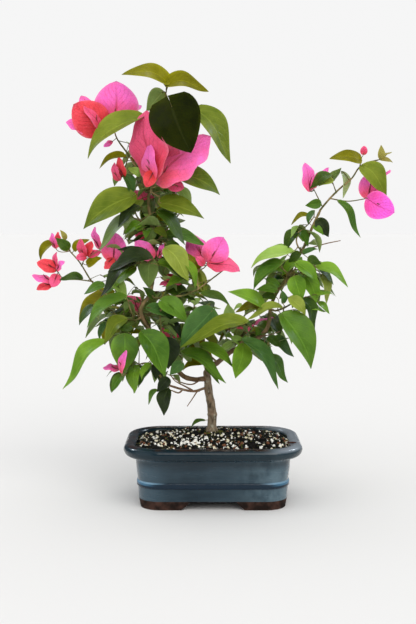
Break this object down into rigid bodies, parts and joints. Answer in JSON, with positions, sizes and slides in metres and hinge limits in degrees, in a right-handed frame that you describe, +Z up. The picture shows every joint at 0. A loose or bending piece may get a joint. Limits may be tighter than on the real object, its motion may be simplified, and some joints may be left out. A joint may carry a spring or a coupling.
{
  "type": "bougainvillea bonsai",
  "caption": "Small flowering tree with a slender forked trunk, pointed leaves and papery pink bracts, growing in a low glazed rectangular pot that stands on corner feet.",
  "frame": {"origin": "middle of the whole plant's box, on the plane that the pot's feet stand on", "axes": "+Z up, +X along the pot's long side to the right in the front view, -Y towards the front"},
  "size_m": [0.413, 0.1922, 0.5016],
  "materials": {
    "glaze": "gloss",
    "soil": "matte",
    "bark": "matte",
    "foliage": "satin"
  },
  "bodies": {
    "root": {"pot": "glaze", "soil": "soil", "trunk": "bark", "leader_lower": "bark", "leader_upper": "bark", "low_bough": "bark", "right_bough": "bark", "right_upper": "bark", "crown_top": "foliage", "bloom_top": "foliage", "crown_heart": "foliage", "crown_left": "foliage", "bloom_left": "foliage", "crown_right": "foliage", "bloom_right": "foliage", "left_spray": "foliage", "left_lower": "foliage", "skirt_left": "foliage", "centre_front": "foliage", "centre_right": "foliage", "right_low": "foliage", "right_mid": "foliage", "right_fore": "foliage", "arm_leaves": "foliage", "right_tip": "foliage", "back_crown": "foliage", "back_left": "foliage", "back_middle": "foliage", "back_right": "foliage", "back_arm": "foliage"}
  },
  "joints": []
}
